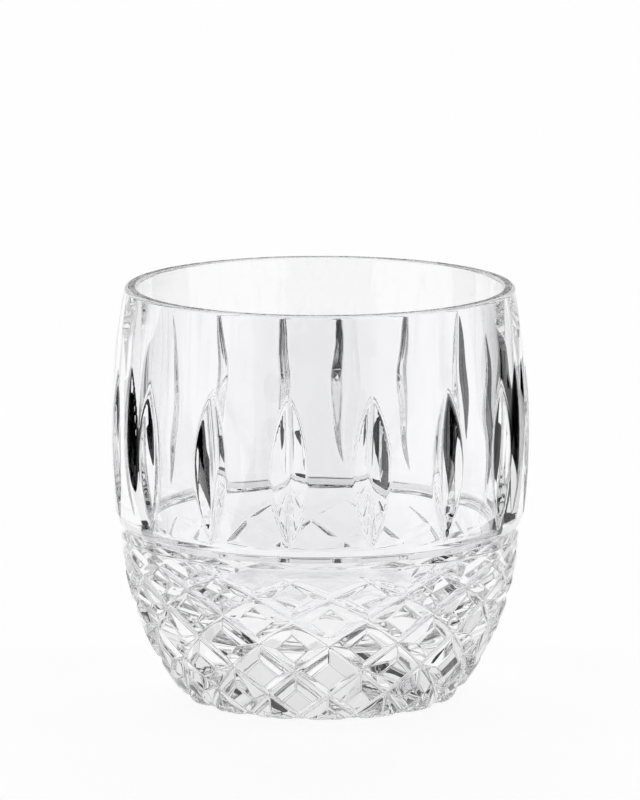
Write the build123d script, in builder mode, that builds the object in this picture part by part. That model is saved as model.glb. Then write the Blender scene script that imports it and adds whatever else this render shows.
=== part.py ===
"""A hand-cut lead-crystal whisky tumbler: one blown blank, ground on wheels.

Millimetres, +Z up, origin at the centre of the resting face.  Everything that decorates
the glass is taken off the turned blank by V-edged (mitre) wheels, as a cutter does it:
a ring below the barrel, sixteen upright wedge cuts above it, and under it two crossing
hands of sixteen slanting cuts that leave a band of diamonds.  One upright cut and the
top of one diamond face -Y, and the pattern repeats every 22.5 degrees.
"""

import os
from math import asin, cos, radians, sin, sqrt, tan

from build123d import *

# ---- the turned blank ----------------------------------------------------------------
total_height = 85.5
belly_radius = 43.3  # widest place of the barrel
belly_height = 55.0
barrel_curve = 155.0  # radius of the barrel's side, seen from the side
shoulder_radius = 41.3  # body just below the ring cut
foot_radius = 28.6  # where the rounded lower side meets the resting plane
side_curve = 56.0  # radius of the lower side, seen from the side

rim_wall = 2.5
rim_outer_bevel = 0.8  # the drinking edge is eased on both sides
rim_inner_bevel = 0.6
draw_in_height = 57.0  # the bowl is straight above this and draws in below it
waist_wall = 4.1  # glass left between the bowl and the bottom of the ring cut
floor_height = 16.0  # glass left under the middle of the bowl
floor_round = 24.0  # from the wall down to the floor

turning_steps = 4  # short straight tapers that stand for each rounding of the base

# ---- the cut pattern -----------------------------------------------------------------
cuts_round = 16  # upright cuts, and diamonds in each row

ring_height = 35.2
ring_width = 2.6
ring_depth = 0.9  # below the shoulder
easing_height = 38.4  # the barrel's lower edge is eased inwards from here to the ring
easing_depth = 0.5

wedge_height = 53.7  # where an upright cut is deepest
wedge_depth = 3.0
wedge_wheel = 62.0  # radius of the wheel that grinds it
wedge_angle = 105.0  # included angle of that wheel's edge

slant_top_height = 31.3  # a slanting cut fades out just above here
slant_middle_height = 16.9
slant_turn = 67.5  # how far round the glass it travels on its way to the foot
slant_top_depth = 0.3
slant_middle_depth = 1.5
slant_foot_depth = 1.4
slant_angle = 120.0  # included angle of its wheel's edge

tool_height = 6.0  # how far a V edge is modelled back from its point
wedge_tool_arc = 50.0  # degrees of wheel modelled for an upright cut
slant_run_out = 15.0  # degrees the slanting tool runs on past both ends

ring_low = ring_height - ring_width / 2
ring_high = ring_height + ring_width / 2
waist_radius = shoulder_radius - ring_depth - waist_wall  # of the bowl, inside the ring


# ---- forms that several features share -----------------------------------------------
def barrel_radius(height):
    """Outside radius of the barrel above the ring cut."""
    centre = belly_radius - barrel_curve
    return centre + sqrt(barrel_curve**2 - (height - belly_height) ** 2)


def side_centre():
    """Centre of the lower side's arc in the (radius, height) plane."""
    low, high = Vector(foot_radius, 0), Vector(shoulder_radius, ring_low)
    chord = high - low
    inward = Vector(-chord.Y, chord.X).normalized()
    return low + chord / 2 + inward * sqrt(side_curve**2 - (chord.length / 2) ** 2)


def side_section(height, depth):
    """The (radius, height) place so deep under the lower side."""
    centre = side_centre()
    rise = height - centre.Y
    outward = Vector(sqrt(side_curve**2 - rise**2), rise).normalized()
    return centre + outward * (side_curve - depth)


def side_point(height, turn, depth):
    """A point so deep under the lower side, turned from -Y towards +X."""
    spot = side_section(height, depth)
    angle = radians(turn)
    return Vector(spot.X * sin(angle), -spot.X * cos(angle), spot.Y)


def floor_corner(angle):
    """The (radius, height) place on the bowl's corner, from 0 at the wall to 90 at the floor."""
    return (
        waist_radius - floor_round * (1 - cos(radians(angle))),
        floor_height + floor_round * (1 - sin(radians(angle))),
    )


def circle_through(first, second, third):
    """Centre and unit axis of the circle through three points."""
    one, two = second - first, third - first
    axis = one.cross(two)
    to_centre = axis.cross(one) * two.dot(two) + two.cross(axis) * one.dot(one)
    return first + to_centre / (2 * axis.dot(axis)), axis.normalized()


rim_radius = barrel_radius(total_height)
bowl_radius = rim_radius - rim_wall

# ---- tool: the V edge of the wheel for one upright cut, standing on the -Y side -------
wedge_valley = barrel_radius(wedge_height) - wedge_depth
wedge_half_width = tool_height * tan(radians(wedge_angle / 2))
wheel_axis = Axis((0, -wedge_valley - wedge_wheel, wedge_height), (1, 0, 0))
wedge_start = Plane.XY.offset(wedge_height)

with BuildPart() as wedge_tool:
    with BuildSketch(wedge_start):
        with BuildLine():
            Polyline(
                (0, -wedge_valley),
                (wedge_half_width, -wedge_valley - tool_height),
                (-wedge_half_width, -wedge_valley - tool_height),
                close=True,
            )
        make_face()
    revolve(axis=wheel_axis, revolution_arc=wedge_tool_arc / 2)
    mirror(about=wedge_start)

# ---- tool: the V edge carried along one slanting cut ---------------------------------
slant_start = side_point(slant_top_height, 0, slant_top_depth)
slant_middle = side_point(slant_middle_height, slant_turn / 2, slant_middle_depth)
slant_end = side_point(0, slant_turn, slant_foot_depth)
slant_centre, slant_axis = circle_through(slant_start, slant_middle, slant_end)

# the wheel leans so that its edge stands square to the glass halfway along the cut
outward = side_point(slant_middle_height, slant_turn / 2, 0) - slant_middle
lean = asin(outward.normalized().dot(slant_axis))
reach = slant_start - slant_centre
first_reach = reach.rotate(Axis((0, 0, 0), slant_axis), -slant_run_out)
edge_direction = first_reach.normalized() * cos(lean) + slant_axis * sin(lean)
slant_travel = reach.get_angle(slant_end - slant_centre) + 2 * slant_run_out
slant_half_width = tool_height * tan(radians(slant_angle / 2))

with BuildPart() as slant_tool:
    section = Plane(
        origin=slant_centre + first_reach,
        x_dir=edge_direction,
        z_dir=slant_axis.cross(first_reach),
    )
    with BuildSketch(section):
        with BuildLine():
            Polyline(
                (0, 0),
                (tool_height, slant_half_width),
                (tool_height, -slant_half_width),
                close=True,
            )
        make_face()
    revolve(axis=Axis(slant_centre, slant_axis), revolution_arc=slant_travel)

# ---- the tumbler ---------------------------------------------------------------------
with BuildPart() as tumbler:
    with BuildSketch(Plane.XZ):
        with BuildLine():
            foot = Line((0, 0), (foot_radius, 0))
            rises = [ring_low * step / turning_steps for step in range(turning_steps + 1)]
            side = Polyline(*[side_section(rise, 0) for rise in rises])
            ring = Polyline(
                side @ 1,
                (shoulder_radius - ring_depth, ring_height),
                (barrel_radius(ring_high) - easing_depth, ring_high),
                (barrel_radius(easing_height), easing_height),
            )
            barrel = RadiusArc(ring @ 1, (rim_radius, total_height), -barrel_curve)
            rim = Line(barrel @ 1, (bowl_radius, total_height))
            wall = Line(rim @ 1, (bowl_radius, draw_in_height))
            turns = [90 * step / turning_steps for step in range(turning_steps + 1)]
            corner = Polyline(wall @ 1, *[floor_corner(turn) for turn in turns])
            Polyline(corner @ 1, (0, floor_height), foot @ 0)
        make_face()
    revolve(axis=Axis.Z)

    rim_edges = tumbler.edges().group_by(Axis.Z)[-1].sort_by(SortBy.RADIUS)
    chamfer(rim_edges[0], length=rim_inner_bevel)
    outer_rim = tumbler.edges().group_by(Axis.Z)[-1].sort_by(SortBy.RADIUS)[-1]
    chamfer(outer_rim, length=rim_outer_bevel)

    with PolarLocations(0, cuts_round):
        add(wedge_tool.part, mode=Mode.SUBTRACT)
        add(slant_tool.part, mode=Mode.SUBTRACT)
        add(mirror(slant_tool.part, about=Plane.YZ, mode=Mode.PRIVATE), mode=Mode.SUBTRACT)

tumbler.part.label = "cut_crystal_tumbler"
os.makedirs("parts", exist_ok=True)
export_step(tumbler.part, "parts/cut_crystal_tumbler.step")
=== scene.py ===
"""Looks of a hand-cut lead-crystal whisky tumbler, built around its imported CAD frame.

The glass is one piece, so one mesh stands for the one CAD node.  Its surface is found the
way a cutter finds it: the turned blank comes first, and the wheels' V edges are then let
into it until they are deep enough.  Lengths are millimetres in the shape's own sums and
metres in the scene, +Z up, with the origin in the middle of the foot.
"""

import bpy
import numpy as np
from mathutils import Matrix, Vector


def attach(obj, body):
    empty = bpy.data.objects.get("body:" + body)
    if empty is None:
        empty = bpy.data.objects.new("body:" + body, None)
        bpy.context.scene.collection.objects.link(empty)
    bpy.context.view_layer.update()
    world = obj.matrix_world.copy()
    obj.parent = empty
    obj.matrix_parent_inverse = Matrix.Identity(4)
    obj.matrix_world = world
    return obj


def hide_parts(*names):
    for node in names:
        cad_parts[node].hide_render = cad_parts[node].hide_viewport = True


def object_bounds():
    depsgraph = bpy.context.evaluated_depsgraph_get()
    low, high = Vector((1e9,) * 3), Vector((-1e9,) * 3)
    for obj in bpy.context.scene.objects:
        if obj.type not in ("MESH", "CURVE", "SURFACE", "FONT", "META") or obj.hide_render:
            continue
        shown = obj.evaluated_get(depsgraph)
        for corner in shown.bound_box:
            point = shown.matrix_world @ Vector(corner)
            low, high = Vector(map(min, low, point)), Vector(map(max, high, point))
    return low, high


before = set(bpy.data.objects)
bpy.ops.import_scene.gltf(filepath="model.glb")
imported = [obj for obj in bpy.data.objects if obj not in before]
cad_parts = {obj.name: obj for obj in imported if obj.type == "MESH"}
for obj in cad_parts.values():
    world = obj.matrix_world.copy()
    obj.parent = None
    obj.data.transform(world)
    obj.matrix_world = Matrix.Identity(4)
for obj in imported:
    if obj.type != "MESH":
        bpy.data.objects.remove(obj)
cad_low, cad_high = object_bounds()

MM = 0.001

# ---- sizes of the blank, in millimetres ----------------------------------------------
total_height = cad_high.z / MM
belly_radius, belly_height, barrel_curve = 43.3, 55.0, 155.0
shoulder_radius, foot_radius, side_curve = 41.3, 28.6, 56.0
rim_wall, foot_round = 2.5, 0.6
plain_foot, reached_foot = foot_radius - 3.0, foot_radius - 2.7  # no wheel comes further in
rim_outer_round, rim_inner_round = 0.8, 0.6  # the drinking edge is ground flat between
draw_in_height, draw_in_curve = 57.0, 140.0
floor_height, floor_round = 16.0, 24.0

# ---- sizes of the cuts ---------------------------------------------------------------
cuts_round = 16
pitch = 2 * np.pi / cuts_round
ring_height, ring_width, ring_depth = 35.2, 2.6, 0.9
easing_height, easing_depth = 38.4, 0.5
wedge_height, wedge_depth, wedge_wheel, wedge_angle = 53.7, 3.0, 62.0, 105.0
slant_turn, slant_angle = 67.5, 120.0
slant_heights = (31.3, 16.9, 0.0)  # top, middle and foot of a slanting cut
slant_depths = (0.3, 1.5, 1.4)
ring_low, ring_high = ring_height - ring_width / 2, ring_height + ring_width / 2
cut_top = 73.0  # the upright cuts have faded out below this height

# ---- how far acid polishing has eased the edges and filled the bottoms of the cuts ----
wedge_edge, wedge_bottom = 0.34, 0.42
slant_edge, slant_bottom = 0.20, 0.22
ring_edge, ring_bottom = 0.15, 0.10

# ---- soft waves that blowing leaves in the bowl, which no wheel touches ---------------
wave_height, wave_lengths, wave_count = 0.022, (9.0, 20.0), 12
wave_fade = 8.0  # they fade out this far below the ground rim
wave_seed = 3

# ---- fineness of the mesh, in millimetres where it isn't a number of things ------------
columns_per_cut = 48
columns = cuts_round * columns_per_cut
middle_radius = 1.5  # inside this, foot and bowl close on one middle vertex each
side_clearance = (0.3, 0.1)  # the side's rows stay this far from the foot and the ring cut
path_swing, path_points = (-0.35, 1.35), 4001  # radians of wheel, past both ends of a cut
sinking_passes = 8
slope_step = 0.004  # between the two places that a slope is read from
ground_depth = 0.1  # a face sunk this far has been ground all over


# ---- the blank's outline -------------------------------------------------------------
def barrel_radius(height):
    """Outside radius of the barrel."""
    centre = belly_radius - barrel_curve
    return centre + np.sqrt(barrel_curve**2 - (height - belly_height) ** 2)


def side_centre():
    """Centre of the lower side's arc in the (radius, height) plane."""
    low, high = np.array([foot_radius, 0.0]), np.array([shoulder_radius, ring_low])
    chord = high - low
    length = np.hypot(*chord)
    inward = np.array([-chord[1], chord[0]]) / length
    return low + chord / 2 + inward * np.sqrt(side_curve**2 - (length / 2) ** 2)


side_r, side_z = side_centre()
ring_places = (
    (shoulder_radius, ring_low),
    (shoulder_radius - ring_depth, ring_height),
    (barrel_radius(ring_high) - easing_depth, ring_high),
    (barrel_radius(easing_height), easing_height),
)


def side_point(height, turn, depth):
    """A point so deep under the lower side, turned from -Y towards +X."""
    rise = height - side_z
    lean = np.arctan2(rise, np.sqrt(side_curve**2 - rise**2))
    radius = side_r + (side_curve - depth) * np.cos(lean)
    turn = np.radians(turn)
    up = side_z + (side_curve - depth) * np.sin(lean)
    return np.array([radius * np.sin(turn), -radius * np.cos(turn), up])


# ---- the slanting wheel's path -------------------------------------------------------
def circle_through(first, second, third):
    """Centre and unit axis of the circle through three points."""
    one, two = second - first, third - first
    axis = np.cross(one, two)
    to_centre = np.cross(axis, one) * two.dot(two) + np.cross(two, axis) * one.dot(one)
    return first + to_centre / (2 * axis.dot(axis)), axis / np.linalg.norm(axis)


slant_start, slant_middle, slant_end = (
    side_point(height, turn, depth)
    for height, turn, depth in zip(slant_heights, (0, slant_turn / 2, slant_turn), slant_depths)
)
slant_centre, slant_axis = circle_through(slant_start, slant_middle, slant_end)
slant_radius = np.linalg.norm(slant_start - slant_centre)
square_out = side_point(slant_heights[1], slant_turn / 2, 0) - slant_middle
slant_lean = np.arcsin(square_out.dot(slant_axis) / np.linalg.norm(square_out))


def slant_path():
    """The turn, radius and height of points all along one slanting cut's bottom."""
    first = (slant_start - slant_centre) / slant_radius
    second = np.cross(slant_axis, first)
    sweep = np.linspace(*path_swing, path_points)[:, None]
    path = slant_centre + slant_radius * (np.cos(sweep) * first + np.sin(sweep) * second)
    turn = np.unwrap(np.arctan2(path[:, 0], -path[:, 1]))
    return turn, np.hypot(path[:, 0], path[:, 1]), path[:, 2]


path_turn, path_radius, path_height = slant_path()


# ---- glass as a field in millimetres: below zero inside the glass, above zero outside --
def greater(one, two, ease):
    """The greater of two fields, with the edge between them eased."""
    near = np.maximum(ease - np.abs(one - two), 0) / ease
    return np.maximum(one, two) + near**2 * ease / 4


def cone(radius, height, first, last):
    """How far outside the cone through two (radius, height) places a point is."""
    across, up = last[0] - first[0], last[1] - first[1]
    reach = (radius - first[0]) * up - (height - first[1]) * across
    return reach / np.hypot(across, up)


def blank(points):
    """The turned outside: foot and lower side below the ring, eased barrel above."""
    radius, height = np.hypot(points[0], points[1]), points[2]
    side = np.hypot(radius - side_r, height - side_z) - side_curve
    barrel = np.hypot(radius - belly_radius + barrel_curve, height - belly_height) - barrel_curve
    easing = cone(radius, height, ring_places[2], ring_places[3])
    return np.where(
        height < ring_height,
        greater(side, -height, foot_round),
        greater(barrel, easing, ring_edge),
    )


def ring_cut(points):
    """How far inside the V of the ring cut a point is."""
    radius, height = np.hypot(points[0], points[1]), points[2]
    lower = cone(radius, height, ring_places[0], ring_places[1])
    upper = cone(radius, height, ring_places[1], ring_places[2])
    return -greater(-lower, -upper, ring_bottom)


def upright_cut(points):
    """How far inside the nearest upright wheel edge a point is."""
    radius = np.hypot(points[0], points[1])
    turn = np.arctan2(points[0], -points[1])
    turn = turn - pitch * np.round(turn / pitch)
    across, out = radius * np.sin(turn), radius * np.cos(turn)
    bottom = barrel_radius(wedge_height) - wedge_depth
    from_axle = np.hypot(bottom + wedge_wheel - out, points[2] - wedge_height)
    slope = 1 / np.tan(np.radians(wedge_angle / 2))
    return wedge_wheel - np.hypot(across, wedge_bottom) * slope - from_axle


def slanting_cut(points, hand):
    """How far inside the nearest slanting wheel edge of one hand a point is."""
    radius = np.hypot(points[0], points[1])
    turn = np.arctan2(points[0], -points[1]) * hand
    here = np.interp(points[2], path_height[::-1], path_turn[::-1])
    turn = turn - pitch * np.round((turn - here) / pitch)
    place = np.stack([radius * np.sin(turn), -radius * np.cos(turn), points[2]])
    reach = place - slant_centre[:, None]
    axial = slant_axis @ reach
    radial = np.sqrt(np.maximum((reach**2).sum(0) - axial**2, 0)) - slant_radius
    along = radial * np.cos(slant_lean) + axial * np.sin(slant_lean)
    across = axial * np.cos(slant_lean) - radial * np.sin(slant_lean)
    slope = 1 / np.tan(np.radians(slant_angle / 2))
    return along - np.hypot(across, slant_bottom) * slope


def glass(points):
    """The whole outside: the blank with every cut let into it."""
    slants = greater(slanting_cut(points, 1), slanting_cut(points, -1), slant_edge)
    body = greater(blank(points), slants, slant_edge)
    body = greater(body, ring_cut(points), ring_edge)
    return greater(body, upright_cut(points), wedge_edge)


def blown_waves(points):
    """Height and slope of the soft waves inside the bowl."""
    draw = np.random.default_rng(wave_seed)
    heading = draw.normal(size=(wave_count, 3))
    heading /= np.linalg.norm(heading, axis=1)[:, None]
    pull = heading * 2 * np.pi / draw.uniform(*wave_lengths, wave_count)[:, None]
    phase = pull @ points + draw.uniform(0, 2 * np.pi, wave_count)[:, None]
    share = wave_height / np.sqrt(wave_count / 2)
    height, slope = share * np.sin(phase).sum(0), share * pull.T @ np.cos(phase)
    below = (total_height - rim_inner_round - points[2]) / wave_fade
    slope = slope * np.clip(below, 0, 1)
    slope[2] -= height * ((below > 0) & (below < 1)) / wave_fade
    return height * np.clip(below, 0, 1), slope


# ---- the outline, row by row from the middle of the foot to the middle of the bowl -----
def arc_rows(centre, radius, first, last, count, hollow=False):
    """Rows along an arc: radius, height and outward normal, angles in degrees."""
    angles = np.radians(np.linspace(first, last, count))
    out = np.stack([np.cos(angles), np.sin(angles)])
    spots = np.array(centre)[:, None] + radius * out
    return np.vstack([spots, -out if hollow else out])


def line_rows(first, last, normal, count):
    """Rows along a straight line, which share one normal."""
    share = np.linspace(0, 1, count)
    spots = np.outer(first, 1 - share) + np.outer(last, share)
    return np.vstack([spots, np.outer(normal, np.ones(count))])


def side_rows():
    """Rows up the lower side, spaced so that both hands of cuts run along the mesh."""
    step = pitch / columns_per_cut
    lean = np.arctan2(path_height - side_z, path_radius - side_r)
    heights = side_z + side_curve * np.sin(lean)
    order = np.argsort(path_turn)
    ends = (side_clearance[0], ring_low - side_clearance[1])
    lowest, highest = np.interp(ends, heights[::-1], path_turn[::-1]) / step
    index = np.arange(int(lowest), int(np.ceil(highest)) - 1, -1)
    angles = np.interp(index * step, path_turn[order], lean[order])
    out = np.stack([np.cos(angles), np.sin(angles)])
    spots = np.array([side_r, side_z])[:, None] + side_curve * out
    return np.vstack([spots, out]), index


def bowl_rows():
    """Rows down the inside: straight wall, drawing in, round corner and floor."""
    bowl_radius = barrel_radius(total_height) - rim_wall
    corner_height = floor_height + floor_round
    draw_r = bowl_radius - draw_in_curve
    swing = np.arcsin((draw_in_height - corner_height) / (draw_in_curve - floor_round))
    corner_r = draw_r + (draw_in_curve - floor_round) * np.cos(swing)
    swing = np.degrees(swing)
    lip = (bowl_radius + rim_inner_round, total_height - rim_inner_round)
    return [
        arc_rows(lip, rim_inner_round, 90, 180, count=8),
        line_rows((bowl_radius, lip[1]), (bowl_radius, draw_in_height), (-1, 0), count=20)[:, 1:],
        arc_rows(
            (draw_r, draw_in_height), draw_in_curve, 0, -swing, count=14, hollow=True
        )[:, 1:],
        arc_rows(
            (corner_r, corner_height), floor_round, -swing, -90, count=26, hollow=True
        )[:, 1:],
        line_rows((corner_r, floor_height), (middle_radius, floor_height), (0, 1), count=7)[:, 1:],
    ]


def outside_rows(side):
    """Blocks of rows: plain foot, all that the wheels may reach, plain top and rim."""
    lip_height = total_height - rim_outer_round
    lip_reach = barrel_curve - rim_outer_round
    centre = belly_radius - barrel_curve
    lip_r = centre + np.sqrt(lip_reach**2 - (lip_height - belly_height) ** 2)
    swings = np.degrees(np.arcsin((np.array([ring_high, cut_top]) - belly_height) / barrel_curve))
    top_swing = np.degrees(np.arcsin((lip_height - belly_height) / lip_reach))
    barrel = (centre, belly_height)
    under = [line_rows((middle_radius, 0), (plain_foot, 0), (0, -1), count=8)]
    reached = [
        line_rows((reached_foot, 0), (foot_radius, 0), (0, -1), count=18),
        side,
        line_rows(ring_places[0], (barrel_radius(ring_high), ring_high), (1, 0), count=21),
        arc_rows(barrel, barrel_curve, swings[0], swings[1], count=119)[:, 1:],
    ]
    plain_top = [
        arc_rows(barrel, barrel_curve, swings[1], top_swing, count=14)[:, 1:],
        arc_rows((lip_r, lip_height), rim_outer_round, top_swing, 90, count=8)[:, 1:],
    ]
    return under, reached, plain_top


# ---- the mesh ------------------------------------------------------------------------
def round_about(radius, height):
    """Carries one (radius, height) pair per row round to every column."""
    turn = np.arange(columns) * (2 * np.pi / columns)
    radius = radius[:, None]
    tall = np.broadcast_to(height[:, None], (len(height), columns))
    return np.stack([radius * np.sin(turn), -radius * np.cos(turn), tall])


def field_normals(points):
    """Unit outward directions of the cut surface at points on it."""
    base = glass(points)
    slope = np.stack([glass(points + slope_step * axis[:, None]) - base for axis in np.eye(3)])
    return slope / np.linalg.norm(slope, axis=0)


def cut_to_depth(points, normals, reached):
    """Sinks the rows that the wheels reach until they lie on the cut glass."""
    sunk = points[:, reached].reshape(3, -1)
    outward = normals[:, reached].reshape(3, -1)
    for _ in range(sinking_passes):
        sunk = sunk - outward * glass(sunk)
    points[:, reached] = sunk.reshape(3, -1, columns)
    normals[:, reached] = field_normals(sunk).reshape(3, -1, columns)


def blow(points, normals, bowl):
    """Gives the rows of the bowl their soft waves."""
    spots, outward = points[:, bowl].reshape(3, -1), normals[:, bowl].reshape(3, -1)
    height, slope = blown_waves(spots)
    leaning = outward - slope + (slope * outward).sum(0) * outward
    leaning /= np.linalg.norm(leaning, axis=0)
    points[:, bowl] = (spots + outward * height).reshape(3, -1, columns)
    normals[:, bowl] = leaning.reshape(3, -1, columns)


def wall_faces(rows, side_start, side_index):
    """Quads, but pairs of triangles on the side, split along the nearer hand of cuts."""
    vertex = np.arange(rows * columns).reshape(rows, columns)
    a, b = vertex[:-1], np.roll(vertex[:-1], -1, 1)
    d, c = vertex[1:], np.roll(vertex[1:], -1, 1)
    in_side = np.zeros(rows - 1, bool)
    in_side[side_start : side_start + len(side_index) - 1] = True
    quads = np.stack([x[~in_side].ravel() for x in (a, b, c, d)], 1)
    a, b, c, d = (x[in_side] for x in (a, b, c, d))
    half = columns_per_cut / 2
    row, column = side_index[:-1, None] - 0.5, np.arange(columns) + 0.5
    right = np.abs((column - row + half) % columns_per_cut - half)
    left = np.abs((column + row + half) % columns_per_cut - half)
    rightwards = (right < left)[..., None]
    one = np.where(rightwards, np.stack([a, b, d], -1), np.stack([a, b, c], -1))
    two = np.where(rightwards, np.stack([b, c, d], -1), np.stack([a, c, d], -1))
    return quads, np.vstack([one.reshape(-1, 3), two.reshape(-1, 3)])


def end_fan(ring, middle):
    """Triangles that close the mesh round one middle vertex."""
    return np.stack([np.full(columns, middle), ring, np.roll(ring, -1)], 1)


def map_places(corners, sizes, outline):
    """Where each face corner lies on the map: round the glass, and along its outline."""
    step = np.hypot(*np.diff(outline))
    length = np.concatenate([[0], np.cumsum(step)]) + outline[0, 0]
    along = np.append(length, [0, length[-1] + outline[0, -1]])  # both middle vertices last
    row, column = corners // columns, corners % columns
    is_end = corners >= len(length) * columns
    row[is_end] = len(length) + corners[is_end] - len(length) * columns
    starts = np.concatenate([[0], np.cumsum(sizes)[:-1]])
    # a face that closes the round ends at the map's far side, not back at its start
    highest = np.repeat(np.maximum.reduceat(np.where(is_end, 0, column), starts), sizes)
    column = np.where((highest == columns - 1) & (column == 0), columns, column)
    # a middle vertex lies between the other two corners of each face
    beside = np.repeat(np.add.reduceat(np.where(is_end, 0, column), starts) / 2, sizes)
    column = np.where(is_end, beside, column)
    return column / columns, along[row] / along[-1]


def tumbler_mesh():
    """One closed mesh of the glass, outside and bowl."""
    side, side_index = side_rows()
    under, reached, plain_top = outside_rows(side)
    rows = np.hstack(under + reached + plain_top + bowl_rows())
    count = rows.shape[1]
    first_cut = under[0].shape[1]
    last_cut = first_cut + sum(block.shape[1] for block in reached)
    bowl = slice(last_cut + sum(block.shape[1] for block in plain_top), count)
    points, normals = round_about(rows[0], rows[1]), round_about(rows[2], rows[3])
    cut_to_depth(points, normals, slice(first_cut, last_cut))
    blow(points, normals, bowl)
    ground = np.zeros((count, columns))
    sunk = -blank(points[:, first_cut:last_cut])
    ground[first_cut:last_cut] = np.clip(sunk / ground_depth, 0, 1)

    side_start = first_cut + reached[0].shape[1]
    quads, triangles = wall_faces(count, side_start, side_index)
    last = count * columns
    foot_ring, bowl_ring = np.arange(columns)[::-1], np.arange(last - columns, last)
    triangles = np.vstack([triangles, end_fan(foot_ring, last), end_fan(bowl_ring, last + 1)])
    middle, _ = blown_waves(np.array([[0.0], [0.0], [floor_height]]))
    middles = [[0, 0], [0, 0], [0, floor_height + middle[0]]]
    places = np.hstack([points.reshape(3, -1), middles])
    directions = np.hstack([normals.reshape(3, -1), [[0, 0], [0, 0], [-1, 1]]])

    mesh = bpy.data.meshes.new("cut_crystal")
    mesh.vertices.add(places.shape[1])
    mesh.vertices.foreach_set("co", (places.T * MM).ravel())
    corners = np.concatenate([quads.ravel(), triangles.ravel()])
    mesh.loops.add(len(corners))
    mesh.loops.foreach_set("vertex_index", corners)
    sizes = np.concatenate([np.full(len(quads), 4), np.full(len(triangles), 3)])
    mesh.polygons.add(len(sizes))
    mesh.polygons.foreach_set("loop_start", np.concatenate([[0], np.cumsum(sizes)[:-1]]))
    mesh.update(calc_edges=True)
    mesh.shade_smooth()
    mesh.normals_split_custom_set_from_vertices(directions.T)
    around, along = map_places(corners, sizes, rows[:2])
    # the export bakes through a map of this name
    layer = mesh.uv_layers.new(name="OFBake")  # a map round the glass and along its outline
    layer.uv.foreach_set("vector", np.stack([around, along], 1).astype(np.float32).ravel())
    cut = mesh.attributes.new("cut", "FLOAT", "POINT")
    cut.data.foreach_set("value", np.append(ground, [0, 0]).astype(np.float32))
    return mesh


tumbler = bpy.data.objects.new("crystal_tumbler", tumbler_mesh())
bpy.context.scene.collection.objects.link(tumbler)
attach(tumbler, "root")
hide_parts("cut_crystal_tumbler")


# ---- materials -----------------------------------------------------------------------
def linear(code):
    """An sRGB hex colour as linear red, green, blue and alpha."""
    parts = [int(code[i : i + 2], 16) / 255 for i in (1, 3, 5)]
    return [p / 12.92 if p <= 0.04045 else ((p + 0.055) / 1.055) ** 2.4 for p in parts] + [1]


def add_node(tree, kind, settings=None, **links):
    """Adds a node, sets its properties and sockets, and links what is given as a socket.

    A socket goes by its name, or by its number after an underscore.
    """
    node = tree.nodes.new(kind)
    for name, value in (settings or {}).items():
        setattr(node, name, value)
    for name, value in links.items():
        key = int(name[1:]) if name[1:].isdigit() else name.replace("_", " ")
        if isinstance(value, bpy.types.NodeSocket):
            tree.links.new(value, node.inputs[key])
        else:
            node.inputs[key].default_value = value
    return node


def new_tree(owner):
    """An empty node tree on a material or a world."""
    owner.use_nodes = True
    owner.node_tree.nodes.clear()
    return owner.node_tree


skin_wave, skin_height = 14.0, 0.008  # of the blown skin's soft waves, in millimetres
ripple_wave, ripple_height = 3.0, 0.010  # of the ripple on the ground faces


def lead_crystal():
    """Lead crystal, blown, wheel cut and acid polished: water clear, with bright hard edges.

    The blown skin keeps long soft waves.  Acid leaves a shorter ripple on the ground faces,
    which breaks up what is seen in them.  The real ripple is about half as wide as this, and
    is drawn coarser so that it shows.
    """
    material = bpy.data.materials.new("acid_polished_lead_crystal")
    tree = new_tree(material)
    place = add_node(tree, "ShaderNodeTexCoord")
    cut = add_node(tree, "ShaderNodeAttribute", {"attribute_name": "cut"})
    skin = add_node(
        tree, "ShaderNodeTexNoise",
        Vector=place.outputs["Object"], Scale=1 / (skin_wave * MM), Detail=1.0,
    )
    waves = add_node(
        tree, "ShaderNodeBump",
        Height=skin.outputs[0], Strength=1.0, Distance=skin_height * MM,
    )
    grain = add_node(
        tree, "ShaderNodeTexNoise",
        Vector=place.outputs["Object"], Scale=1 / (ripple_wave * MM), Detail=2.0,
    )
    ripple = add_node(
        tree, "ShaderNodeBump",
        Height=grain.outputs[0], Strength=cut.outputs["Fac"], Distance=ripple_height * MM,
        Normal=waves.outputs[0],
    )
    shader = add_node(
        tree, "ShaderNodeBsdfPrincipled",
        Base_Color=linear("#FDFDFE"), Roughness=0.0, IOR=1.545, Transmission_Weight=1.0,
        Normal=ripple.outputs[0],
    )
    add_node(tree, "ShaderNodeOutputMaterial", Surface=shader.outputs["BSDF"])
    return material


tumbler.data.materials.append(lead_crystal())

# ---- studio, in metres and degrees, with white as 1 ----------------------------------
scene = bpy.context.scene
studio_turn = np.radians(8.33)  # how far camera and cards are turned round the glass
floor_reach, floor_drop, floor_glow = 3.0, 0.0003, 0.87
flat_height, side_wall_height, front_wall_height = 0.22, 0.5, 0.75
light_bounces = 40  # light crosses many faces inside cut glass

tent_level = 0.8
tent_openings = (  # degrees round from the back, degrees up, degrees to each side, level
    (180, 45, 30, 0.02),
    (120, 40, 20, 0.02),
    (-120, 40, 20, 0.02),
    (60, 40, 22, 0.02),
    (-60, 40, 22, 0.02),
    (0, 80, 20, 0.02),
    (0, 9, 4, 0.05),  # the low one that the flat of the rim mirrors
)


def studio_place(right, back, up):
    """A place in metres: to the right of the glass, behind it and above the floor."""
    return (
        right * np.cos(studio_turn) - back * np.sin(studio_turn),
        right * np.sin(studio_turn) + back * np.cos(studio_turn),
        up,
    )


def stage_piece(name, corners, material):
    """A flat thing of the studio, which isn't part of the object."""
    mesh = bpy.data.meshes.new(name)
    mesh.from_pydata([studio_place(*corner) for corner in corners], [], [range(len(corners))])
    mesh.materials.append(material)
    piece = bpy.data.objects.new(name, mesh)
    scene.collection.objects.link(piece)
    return piece


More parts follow.
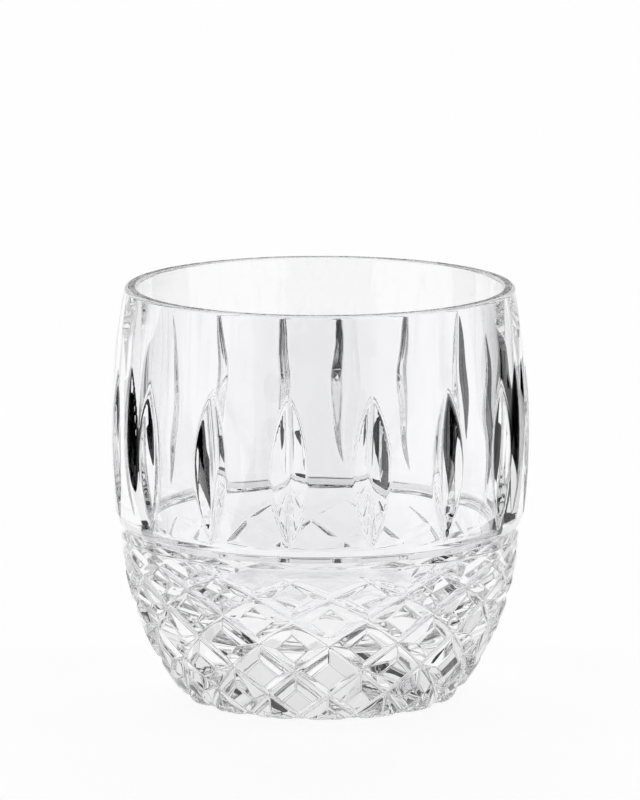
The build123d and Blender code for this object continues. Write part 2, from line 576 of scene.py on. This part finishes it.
def seen(tree):
    """One for rays from the camera or through or off the glass, nought for lighting."""
    path = add_node(tree, "ShaderNodeLightPath")
    total = add_node(
        tree, "ShaderNodeMath", {"operation": "ADD"},
        _0=path.outputs["Is Camera Ray"], _1=path.outputs["Is Glossy Ray"],
    )
    total = add_node(
        tree, "ShaderNodeMath", {"operation": "ADD", "use_clamp": True},
        _0=total.outputs[0], _1=path.outputs["Is Transmission Ray"],
    )
    return total.outputs[0]


def white_paper():
    """Matt white sweep paper that reads as white and still takes the glass's shadow."""
    material = bpy.data.materials.new("white_sweep_paper")
    tree = new_tree(material)
    matt = add_node(tree, "ShaderNodeBsdfDiffuse", Color=linear("#A4A4A4"))
    white = (floor_glow, floor_glow, floor_glow, 1)
    glow = add_node(tree, "ShaderNodeEmission", Strength=seen(tree), Color=white)
    both = add_node(tree, "ShaderNodeAddShader", _0=matt.outputs[0], _1=glow.outputs[0])
    add_node(tree, "ShaderNodeOutputMaterial", Surface=both.outputs[0])
    return material


def black_card():
    """Matt black card, which draws dark lines into clear glass."""
    material = bpy.data.materials.new("matt_black_card")
    tree = new_tree(material)
    matt = add_node(tree, "ShaderNodeBsdfDiffuse", Color=linear("#060606"))
    add_node(tree, "ShaderNodeOutputMaterial", Surface=matt.outputs[0])
    return material


def tent_light():
    """A white tent with dark openings, where the lights and the lens look in."""
    world = bpy.data.worlds.new("white_tent")
    tree = new_tree(world)
    direction = add_node(tree, "ShaderNodeTexCoord")
    cloth = (tent_level, tent_level, tent_level, 1)
    for turn, up, reach, dark in tent_openings:
        turn, up = np.radians(turn), np.radians(up)
        heading = studio_place(np.sin(turn) * np.cos(up), np.cos(turn) * np.cos(up), np.sin(up))
        towards = add_node(
            tree, "ShaderNodeVectorMath", {"operation": "DOT_PRODUCT"},
            _0=direction.outputs["Generated"], _1=heading,
        )
        inside = add_node(
            tree, "ShaderNodeMath", {"operation": "GREATER_THAN"},
            _0=towards.outputs["Value"], _1=np.cos(np.radians(reach)),
        )
        gap = add_node(
            tree, "ShaderNodeMix", {"data_type": "RGBA"},
            _0=inside.outputs[0], _6=cloth, _7=(dark, dark, dark, 1),
        )
        cloth = gap.outputs[2]
    path = add_node(tree, "ShaderNodeLightPath")
    level = add_node(
        tree, "ShaderNodeMix", {"data_type": "RGBA"},
        _0=path.outputs["Is Camera Ray"], _6=cloth, _7=(1, 1, 1, 1),
    )
    background = add_node(tree, "ShaderNodeBackground", Color=level.outputs[2], Strength=1.0)
    add_node(tree, "ShaderNodeOutputWorld", Surface=background.outputs[0])
    return world


scene.world = tent_light()

floor_corners = [
    (right * floor_reach, back * floor_reach, -floor_drop)
    for right, back in ((-1, -1), (1, -1), (1, 1), (-1, 1))
]
stage_piece("floor", floor_corners, white_paper())


def lying(*corners):
    """The corners of a card that lies on the floor, from (right, back) places."""
    return [(right, back, 0.0) for right, back in corners]


def standing(start, end, height):
    """The corners of a card that stands on the floor along a line between two such places."""
    return [(*start, 0.0), (*end, 0.0), (*end, height), (*start, height)]


card = black_card()
flags = {
    "left_card": lying(
        (-0.12, 0.0), (-0.22, 0.15), (-0.42, 0.42), (-0.55, 0.45), (-0.58, 0.28),
        (-0.50, 0.20), (-0.395, 0.144), (-0.407, 0.101), (-0.30, 0.04),
    ),
    "left_flat": standing((-0.55, 0.45), (-0.58, 0.28), flat_height),
    "right_card": lying((0.10, 0.07), (0.17, 0.24), (0.24, 0.50), (0.60, 0.50), (0.70, 0.04)),
    "right_flat": standing((0.50, 0.50), (0.70, 0.04), flat_height),
    "front_cloth": lying(
        (-2.8, -2.5), (2.8, -2.5), (1.3, -1.0), (0.27, -0.33), (0.15, -0.36),
        (0.08, -0.20), (0.035, -0.09), (-0.09, -0.08), (-0.22, -0.30), (-1.3, -1.0),
    ),
    "front_wall": standing((-2.8, -2.5), (2.8, -2.5), front_wall_height),
    "front_left_wall": standing((-1.3, -1.0), (-2.8, -2.5), side_wall_height),
    "front_right_wall": standing((1.3, -1.0), (2.8, -2.5), side_wall_height),
}
for name, corners in flags.items():
    flag = stage_piece(name, corners, card)
    flag.visible_camera = False  # seen only through the glass or in it
    flag.visible_diffuse = False
    flag.visible_shadow = False

scene.cycles.max_bounces = light_bounces
scene.cycles.transmission_bounces = light_bounces
scene.cycles.glossy_bounces = light_bounces
scene.view_settings.view_transform = "Standard"

# ---- camera --------------------------------------------------------------------------
camera_distance, camera_height = 1.2, 0.276
camera_dip = 10.139  # degrees below level
lens_length, film_width = 264.96, 36  # millimetres
camera_range = 100  # metres

camera = bpy.data.objects.new("camera", bpy.data.cameras.new("camera"))
scene.collection.objects.link(camera)
camera.location = studio_place(0, -camera_distance, camera_height)
camera.rotation_euler = (np.radians(90 - camera_dip), 0, studio_turn)
camera.data.lens, camera.data.sensor_width = lens_length, film_width
camera.data.clip_end = camera_range
scene.camera = camera
